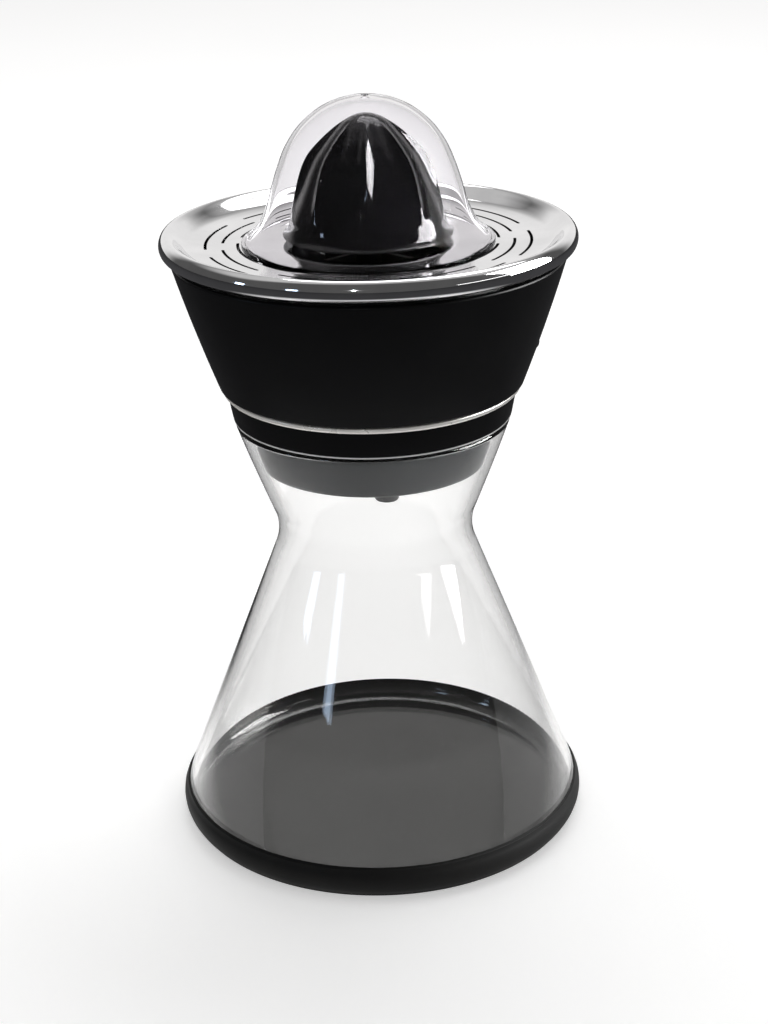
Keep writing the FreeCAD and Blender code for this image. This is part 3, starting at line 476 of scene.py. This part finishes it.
def build_carafe(made):
    """The hourglass carafe and the rubber foot that it sits in."""
    floor = bottom_of("carafe")
    top = top_of("carafe")
    inside = NECK_ROUNDING + GLASS_WALL
    inner_floor = floor + GLASS_WALL
    across = GLASS_WALL / math.cos(FLANK_ANGLE)
    glass = outline([
        (0.0, floor),
        (flank_radius(floor), floor, 8.0),
        (*neck_point(-FLANK_ANGLE, NECK_ROUNDING), 0.0, -neck_sagitta(NECK_ROUNDING)),
        (*neck_point(FLARE_ANGLE, NECK_ROUNDING), 0.0, 0.2),
        (MOUTH_RADIUS, top, 1.4),
        (MOUTH_RADIUS - GLASS_WALL - 0.1, top, 1.4, -0.2),
        (*neck_point(FLARE_ANGLE, inside), 0.0, neck_sagitta(inside)),
        neck_point(-FLANK_ANGLE, inside),
        (flank_radius(inner_floor) - across, inner_floor, 5.0),
        (0.0, inner_floor),
    ], closed=False)
    turned("carafe_glass_shell", glass, made["clear_glass"], "carafe_body",
           ["carafe"], closed=False)
    seat = floor - 0.1
    foot = outline([
        (0.0, 0.0),
        (75.9, 0.0, 0.7, 2.1),
        (77.1, FOOT_LIP, 0.35),
        (76.62, FOOT_LIP, 0.1, 0.0),
        (flank_radius(seat) + 0.25, seat, 8.0),
        (0.0, seat),
    ], closed=False)
    turned("foot_ring", foot, made["black_rubber"], "carafe_body",
           ["base_ring"], closed=False)


# ------------------------------------------------------------ motor head, outside

def build_head(made):
    """The head's outer rings, from the gasket on the glass up to the housing, and its plug."""
    gasket_low = bottom_of("seat_gasket")
    gasket_high = top_of("seat_gasket")
    turned("seat_gasket_ring", outline([
        (46.9, gasket_low), (51.5, gasket_low, 0.2), (51.5, gasket_high, 0.2),
        (46.9, gasket_high)]), made["silicone"], "head", ["seat_gasket"])

    collar_low = bottom_of("collar")
    collar_high = top_of("collar")
    ledge = 166.0
    shoulder = 172.3        # covers the foot of the trim band, so that it shows as a thin line
    turned("collar_ring", outline([
        (46.9, collar_low), (51.6, collar_low, 0.5), (53.4, shoulder, 0.5), (52.2, shoulder),
        (52.2, collar_high, 0.3), (50.1, collar_high), (50.1, ledge), (46.9, ledge)]),
        made["satin_black"], "head", ["collar"])

    band_low = shoulder + 0.1
    band_high = top_of("trim_band") - 0.5
    turned("trim_band_ring", outline([
        (52.25, band_low), (54.5, band_low, 0.6, 0.12), (55.2, band_high, 0.6),
        (52.25, band_high)]), made["satin_steel"], "head", ["trim_band"])

    foot = bottom_of("housing")
    top = top_of("housing")
    turned("housing_shell", outline([
        (53.5, foot), (56.0, foot, 0.7, 0.45), (71.6, top, 0.9), (68.95, top, 0.3),
        (68.95, top - 2.0), (66.35, top - 2.0), (66.35, top - 4.0), (67.6, top - 5.6, 0.0, -0.4)]),
        made["satin_black"], "head", ["housing"])

    plug_low = bottom_of("plug_cover")
    plug_high = top_of("plug_cover")
    plug_floor = plug_low + 2.0
    plug = outline([
        (0.0, plug_low), (41.5, plug_low, 5.0), (46.0, 158.0, 1.5), (46.7, 161.5, 1.0),
        (46.7, plug_high), (44.0, plug_high), (44.0, 158.6), (39.5, plug_floor, 3.0),
        (0.0, plug_floor)], closed=False)
    turned("plug_cover_shell", plug, made["grey_plastic"], "head",
           ["plug_cover"], closed=False)


def build_nozzle(made):
    """The short spout that just shows under the plug."""
    low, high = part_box("drip_nozzle")
    middle = (low + high) / 2 / MM
    bottom = low.z / MM
    top = high.z / MM
    flange = 145.65
    nozzle = outline([
        (3.0, bottom, 0.3), (4.25, bottom, 0.6), (4.25, flange), (5.85, flange, 0.3),
        (5.85, top, 0.3), (3.0, top)])
    turned("drip_nozzle_tube", nozzle, made["black_plastic"], "head",
           ["drip_nozzle"], FINE_STEPS, place=Matrix.Translation((middle.x, middle.y, 0.0)))


GLAND_ANGLE = math.radians(12.0)
GLAND_REACH_TRIM = 0.9      # the gland's box is a little longer than the gland, as it lies aslant


def build_gland(made):
    """A moulded cord gland on the flank of the housing, its bore pointing outward."""
    low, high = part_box("cord_gland")
    middle = (low + high) / 2 / MM
    nose = high.x / MM / math.cos(GLAND_ANGLE) - GLAND_REACH_TRIM
    profile = outline([
        (3.0, nose - 11.0), (3.5, nose - 11.0), (3.5, nose - 1.9), (4.9, nose - 1.8, 0.3),
        (4.6, nose - 0.9, 0.3), (4.0, nose, 0.5), (3.0, nose, 0.5)])
    lay = Matrix.Rotation(math.pi / 2, 4, "Y")
    spin = Matrix.Rotation(GLAND_ANGLE, 4, "Z")
    place = Matrix.Translation((0.0, 0.0, middle.z)) @ spin @ lay
    turned("cord_gland_boss", profile, made["satin_black"], "head",
           ["cord_gland"], FINE_STEPS, place=place)


# ------------------------------------------------------------ strainer dish

SHEET = 0.8
SLOT_HALF = 0.55
SLOT_ARC = 33.0
SLOT_ROWS = ((46.8, 0.0), (52.4, 9.0), (58.4, 18.0))      # radius and first angle of each row
SLOT_OFFSETS = (-1.0, -0.72, 0.0, 0.72, 1.0)


def dish_top():
    """The dish's upper surface from its hole out over the rolled rim, with rings at the slots."""
    crest = top_of("strainer")
    knots = [(11.0, 227.3), (20.0, 227.3), (34.0, 227.25), (40.0, 226.9), (46.0, 226.5),
             (52.0, 226.35), (58.0, 226.6), (62.5, 227.05), (65.6, 227.7), (68.0, 229.2),
             (70.2, 231.0), (72.2, crest), (73.8, crest - 0.8), (74.75, crest - 2.4),
             (75.0, crest - 4.2), (74.5, crest - 5.9), (73.2, crest - 7.2),
             (71.4, bottom_of("strainer"))]
    return smooth_run(knots, 7)


def with_slot_rings(points):
    """Adds rings to the dish's run at the radii where the slots need them."""
    climb = [point for point in points if point.x < 66.0]
    rest = points[len(climb):]
    wanted = [(row, offset) for row in range(len(SLOT_ROWS)) for offset in SLOT_OFFSETS]
    rings = []
    for row, offset in wanted:
        radius = SLOT_ROWS[row][0] + offset * SLOT_HALF
        index = next(i for i, point in enumerate(climb) if point.x > radius)
        share = (radius - climb[index - 1].x) / (climb[index].x - climb[index - 1].x)
        rings.append((climb[index - 1].lerp(climb[index], share), row, offset))
    plain = [(point, None, 0.0) for point in climb
             if all(abs(point.x - ring[0].x) > 0.35 for ring in rings)
             and not any(abs(point.x - row[0]) < SLOT_HALF for row in SLOT_ROWS)]
    merged = sorted(plain + rings, key=lambda ring: ring[0].x)
    return merged + [(point, None, 0.0) for point in rest]


def slot_columns(row):
    """First and last column of each slot of a row, in the dish's angular grid."""
    per_slot = STEPS // RIBS
    first = round(SLOT_ROWS[row][1] / 360.0 * STEPS)
    long = round(SLOT_ARC / 360.0 * STEPS)
    return [(first + per_slot * slot, first + per_slot * slot + long) for slot in range(RIBS)]


def build_strainer(made):
    """A pressed sheet with rounded-ended slots cut right through."""
    rings = with_slot_rings(dish_top())
    run = [ring[0] for ring in rings]
    under = offset_run(run, -SHEET)
    vertices = []
    for side in (run, under):
        for place, (point, row, offset) in zip(side, rings):
            shifts = {}
            if row is not None:
                reach = SLOT_HALF * math.sqrt(max(0.0, 1.0 - offset * offset)) / point.x
                for start, end in slot_columns(row):
                    shifts[start % STEPS] = -reach
                    shifts[end % STEPS] = reach
            for step in range(STEPS):
                angle = 2 * math.pi * step / STEPS + shifts.get(step, 0.0)
                vertices.append((place.x * math.cos(angle), place.x * math.sin(angle), place.y))
    count = len(rings)

    def spot(side, ring, step):
        return (side * count + ring) * STEPS + step % STEPS

    open_cells = set()
    for ring in range(count - 1):
        row = rings[ring][1]
        if row is None or rings[ring + 1][1] != row:
            continue
        for start, end in slot_columns(row):
            open_cells.update((ring, step % STEPS) for step in range(start, end))

    faces = []
    for ring in range(count - 1):
        for step in range(STEPS):
            if (ring, step) in open_cells:
                continue
            faces.append((spot(0, ring, step), spot(0, ring + 1, step),
                          spot(0, ring + 1, step + 1), spot(0, ring, step + 1)))
            faces.append((spot(1, ring, step), spot(1, ring, step + 1),
                          spot(1, ring + 1, step + 1), spot(1, ring + 1, step)))
    for ring, step in open_cells:
        sides = (((ring - 1, step), (ring, step + 1), (ring, step)),
                 ((ring + 1, step), (ring + 1, step), (ring + 1, step + 1)),
                 ((ring, (step - 1) % STEPS), (ring, step), (ring + 1, step)),
                 ((ring, (step + 1) % STEPS), (ring + 1, step + 1), (ring, step + 1)))
        for beyond, start, end in sides:
            if beyond not in open_cells:
                faces.append((spot(0, *start), spot(0, *end), spot(1, *end), spot(1, *start)))
    for step in range(STEPS):
        faces.append((spot(0, 0, step), spot(0, 0, step + 1), spot(1, 0, step + 1),
                      spot(1, 0, step)))
        faces.append((spot(0, count - 1, step), spot(1, count - 1, step),
                      spot(1, count - 1, step + 1), spot(0, count - 1, step + 1)))
    make_piece("strainer_dish", vertices, faces, made["polished_steel"], "strainer_body",
               ["strainer"])


# ------------------------------------------------------------ reamer cone

# ridge: (radius, drop below the tip); ribs: (drop below the tip, depth of the flutes)
CONE_RIDGE = ((0.0, 0.0), (2.8, 0.35), (6.0, 1.5), (9.3, 3.4), (13.2, 6.4), (16.9, 9.8),
              (20.2, 13.4), (22.3, 16.9), (23.7, 20.4), (25.0, 24.8), (26.1, 29.2),
              (27.1, 33.6), (27.9, 37.6), (28.8, 40.4), (29.7, 41.6), (30.5, 42.2))
RIB_DEPTH = ((0.0, 0.0), (2.0, 0.2), (6.0, 1.6), (12.0, 2.9), (18.0, 3.0), (24.0, 2.5),
             (29.0, 1.7), (33.0, 0.8), (36.5, 0.0), (50.0, 0.0))
RIB_SHARPNESS = 4.5
RIB_ROUNDING = 0.05


def between(table, place):
    """Reads a table of (place, value) pairs with straight runs between them."""
    for (low, first), (high, second) in zip(table, table[1:]):
        if place <= high:
            share = (place - low) / (high - low)
            return first + (second - first) * share
    return table[-1][1]


def flute(angle):
    """0 on a ridge and 1 in the middle of a flute."""
    turn = (math.degrees(angle) + 90.0) / (360.0 / RIBS)
    off_ridge = abs(turn - round(turn)) * 2.0
    rounded = math.sqrt(off_ridge ** 2 + RIB_ROUNDING ** 2) - RIB_ROUNDING
    reach = math.sqrt(1.0 + RIB_ROUNDING ** 2) - RIB_ROUNDING
    return 1.0 - (1.0 - rounded / reach) ** RIB_SHARPNESS


def build_cone(made):
    """A hollow cone whose ribs fade out into a smooth skirt."""
    tip = top_of("reamer_cone")
    base = bottom_of("reamer_cone")
    ridge = [Vector((point.x, tip - point.y)) for point in smooth_run(CONE_RIDGE, 5)]
    lip = outline([(30.5, tip - 42.2), (30.6, base + 0.6, 0.2), (30.4, base, 0.3),
                   (27.2, base)], closed=False)
    inner = [(25.2, base + 6.4), (23.0, base + 14.0), (20.4, base + 20.0), (16.5, base + 26.0),
             (11.0, base + 31.5), (5.0, base + 34.6)]
    rings = ridge + lip[1:] + [Vector(place) for place in inner]
    vertices = [(0.0, 0.0, tip)]
    for index, point in enumerate(rings[1:], 1):
        depth = between(RIB_DEPTH, tip - point.y) if index < len(ridge) else 0.0
        for step in range(STEPS):
            angle = 2 * math.pi * step / STEPS
            radius = point.x - depth * flute(angle)
            vertices.append((radius * math.cos(angle), radius * math.sin(angle), point.y))
    vertices.append((0.0, 0.0, base + 35.2))
    faces = []
    for step in range(STEPS):
        following = (step + 1) % STEPS
        faces.append((0, 1 + step, 1 + following))
    for ring in range(len(rings) - 2):
        first = 1 + ring * STEPS
        for step in range(STEPS):
            following = (step + 1) % STEPS
            faces.append((first + step, first + STEPS + step, first + STEPS + following,
                          first + following))
    last = 1 + (len(rings) - 2) * STEPS
    for step in range(STEPS):
        faces.append((last + step, len(vertices) - 1, last + (step + 1) % STEPS))
    make_piece("reamer_cone_shell", vertices, faces, made["gloss_black"], "cone_body",
               ["reamer_cone"])


# ------------------------------------------------------------ lid

def build_lid(made):
    """A dome of even wall with a vent hole at the top and a flared foot."""
    top = top_of("lid")
    foot = bottom_of("lid")
    wall = 1.8
    outer = smooth_run([
        (1.6, top), (6.0, top - 0.5), (12.0, top - 2.3), (18.0, top - 5.5), (24.0, top - 10.8),
        (28.6, top - 17.4), (31.6, top - 24.4), (33.6, top - 30.4), (35.6, top - 37.0),
        (37.6, top - 42.2), (40.0, top - 46.2), (43.0, top - 49.4), (45.3, foot + 1.3),
        (45.6, foot + 0.5)], 6)
    outer.reverse()
    turned("lid_dome", shell_outline(outer, wall), made["clear_plastic"], "lid_body",
           ["lid"])


# ------------------------------------------------------------ carried-over CAD nodes

def paint_nodes(made):
    """Gives every CAD node the material of its slot in the record."""
    for entry in frame["record"]["subparts"]:
        mesh = frame["nodes"][entry["node"]].data
        mesh.materials.clear()
        mesh.materials.append(made[entry["material_slot"]])


# ------------------------------------------------------------ stage

def build_floor():
    """A plain pale floor that reaches well past the view."""
    size = 20.0         # half its width
    parts = 10
    vertices = []
    for row in range(parts + 1):
        for column in range(parts + 1):
            vertices.append(((column / parts * 2 - 1) * size, (row / parts * 2 - 1) * size, 0.0))
    faces = []
    for row in range(parts):
        for column in range(parts):
            first = row * (parts + 1) + column
            faces.append((first, first + 1, first + parts + 2, first + parts + 1))
    mesh = bpy.data.meshes.new("studio_floor")
    mesh.from_pydata(vertices, [], faces)
    material, tree, shader = start_material("pale_floor", (0.93, 0.93, 0.93), 0.9)
    paper = noise(tree, 3.0, 3.0)
    tree.links.new(two_tone(tree, paper, (0.925, 0.925, 0.925), (0.94, 0.94, 0.94)),
                   shader.inputs["Base Color"])
    shader.inputs["Emission Color"].default_value = (1.0, 1.0, 1.0, 1.0)
    shader.inputs["Emission Strength"].default_value = 0.47
    shader.inputs["Specular IOR Level"].default_value = 0.0
    # painted dark reflection: the floor shows dark grey in mirrors away from the object
    paint_floor_dark_in_reflections(tree, shader)
    mesh.materials.append(material)
    floor = bpy.data.objects.new("studio_floor", mesh)
    bpy.context.scene.collection.objects.link(floor)


def paint_floor_dark_in_reflections(tree, shader):
    """In reflections the floor is painted dark grey a little way out from the object, a painted
    dark reflection in place of the pale floor.
    """
    nodes = tree.nodes
    place = nodes.new("ShaderNodeTexCoord")
    distance = nodes.new("ShaderNodeVectorMath")
    distance.operation = "LENGTH"
    tree.links.new(place.outputs["Object"], distance.inputs[0])
    beyond = smooth_ramp(tree, distance.outputs["Value"], 0.09, 0.22, 0.0, 1.0)
    path = nodes.new("ShaderNodeLightPath")
    mirrored = math_node(tree, "GREATER_THAN", path.outputs["Glossy Depth"], 0.5)
    in_glass = math_node(tree, "GREATER_THAN", path.outputs["Transmission Depth"], 0.5)
    share = smooth_ramp(tree, in_glass, 0.0, 1.0, 1.0, 0.3)
    far_mirrored = math_node(tree, "MULTIPLY", beyond, mirrored)
    amount = math_node(tree, "MULTIPLY", far_mirrored, share)
    # painted dark reflection: this grey replaces the floor's own pale colour where it is seen in
    # mirrors
    dark = nodes.new("ShaderNodeBsdfDiffuse")
    dark.inputs["Color"].default_value = (0.10, 0.10, 0.105, 1.0)
    mix = nodes.new("ShaderNodeMixShader")
    tree.links.new(amount, mix.inputs["Fac"])
    tree.links.new(shader.outputs["BSDF"], mix.inputs[1])
    tree.links.new(dark.outputs["BSDF"], mix.inputs[2])
    tree.links.new(mix.outputs["Shader"], nodes["Material Output"].inputs["Surface"])


def build_world():
    """White for direct looks, also through glass.

    Reflections see a dark room with a pale sheet behind the object and a ceiling over it.
    """
    world = bpy.data.worlds.new("studio")
    world.use_nodes = True
    bpy.context.scene.world = world
    tree = world.node_tree
    nodes = tree.nodes
    room = nodes["Background"]
    place = nodes.new("ShaderNodeTexCoord")
    axes = nodes.new("ShaderNodeSeparateXYZ")
    tree.links.new(place.outputs["Generated"], axes.inputs["Vector"])
    backdrop = smooth_ramp(tree, axes.outputs["Y"], 0.58, 0.86, 0.0, 1.0)
    behind = smooth_ramp(tree, axes.outputs["Y"], -0.30, 0.05, 0.0, 1.0)
    overhead = smooth_ramp(tree, axes.outputs["Z"], 0.50, 0.78, 0.0, 0.65)
    ceiling = math_node(tree, "MULTIPLY", behind, overhead)
    low_part = smooth_ramp(tree, axes.outputs["Z"], 0.34, 0.54, 1.0, 0.5)
    sheet = math_node(tree, "MULTIPLY", backdrop, low_part)
    lit = math_node(tree, "MAXIMUM", sheet, ceiling)
    scaled = math_node(tree, "MULTIPLY", lit, 0.85)
    total = math_node(tree, "ADD", scaled, 0.10)
    tree.links.new(total, room.inputs["Strength"])
    room.inputs["Color"].default_value = (1.0, 0.99, 0.98, 1.0)

    white = nodes.new("ShaderNodeBackground")
    white.inputs["Color"].default_value = (1.0, 1.0, 1.0, 1.0)
    path = nodes.new("ShaderNodeLightPath")
    bounces = math_node(tree, "ADD", path.outputs["Glossy Depth"], path.outputs["Diffuse Depth"])
    direct = math_node(tree, "LESS_THAN", bounces, 0.5)
    mix = nodes.new("ShaderNodeMixShader")
    tree.links.new(direct, mix.inputs["Fac"])
    tree.links.new(room.outputs["Background"], mix.inputs[1])
    tree.links.new(white.outputs["Background"], mix.inputs[2])
    tree.links.new(mix.outputs["Shader"], nodes["World Output"].inputs["Surface"])


def area_light(name, place, target, size, power, colour=(1.0, 1.0, 1.0), gloss_only=False):
    light = bpy.data.lights.new(name, "AREA")
    light.shape = "RECTANGLE"
    light.size, light.size_y = size
    light.energy = power
    light.color = colour
    lamp = bpy.data.objects.new(name, light)
    lamp.location = place
    lamp.rotation_euler = (Vector(target) - Vector(place)).to_track_quat("-Z", "Y").to_euler()
    lamp.visible_camera = False
    lamp.visible_diffuse = not gloss_only
    bpy.context.scene.collection.objects.link(lamp)
    return lamp


def build_lights():
    middle = (0.0, 0.0, 0.2)
    blue = (0.62, 0.78, 1.0)
    area_light("top_softbox", (0.3, 0.9, 1.9), middle, (1.6, 1.0), 14.0)
    area_light("right_softbox", (1.15, 0.08, 0.62), middle, (0.75, 0.9), 40.0, gloss_only=True)
    area_light("left_window", (-1.22, -0.44, 0.36), middle, (0.12, 0.22), 0.6, blue, True)
    area_light("front_window", (-0.84, -1.0, 0.37), middle, (0.14, 0.2), 0.45, blue, True)
    area_light("low_strip", (1.10, -0.49, 0.36), middle, (0.9, 0.05), 0.45, gloss_only=True)
    area_light("flash", (-0.11, -0.78, 0.50), middle, (0.015, 0.015), 0.22, gloss_only=True)


def build_camera():
    """The photograph's view: a little above the object, looking down at it from the front."""
    pitch = math.radians(22.406)
    yaw = math.radians(0.269)
    roll = math.radians(1.368)
    level = Vector((math.sin(yaw), math.cos(yaw), 0.0))
    right = Vector((math.cos(yaw), -math.sin(yaw), 0.0))
    forward = level * math.cos(pitch) - Vector((0.0, 0.0, math.sin(pitch)))
    upward = level * math.sin(pitch) + Vector((0.0, 0.0, math.cos(pitch)))
    across = right * math.cos(roll) - upward * math.sin(roll)
    tall = right * math.sin(roll) + upward * math.cos(roll)
    lens = bpy.data.cameras.new("view")
    lens.sensor_fit = "AUTO"
    lens.sensor_width = 36.0
    lens.lens = 69.85
    lens.clip_start = 0.01
    lens.clip_end = 50.0
    camera = bpy.data.objects.new("view", lens)
    camera.matrix_world = Matrix((
        (across.x, tall.x, -forward.x, 0.0),
        (across.y, tall.y, -forward.y, -0.6956),
        (across.z, tall.z, -forward.z, 0.4078),
        (0.0, 0.0, 0.0, 1.0),
    ))
    bpy.context.scene.collection.objects.link(camera)
    bpy.context.scene.camera = camera


materials = make_materials()
paint_nodes(materials)
build_carafe(materials)
build_head(materials)
build_nozzle(materials)
build_gland(materials)
build_strainer(materials)
build_cone(materials)
build_lid(materials)
build_floor()
build_world()
build_lights()
build_camera()
bpy.context.scene.view_settings.view_transform = "Standard"
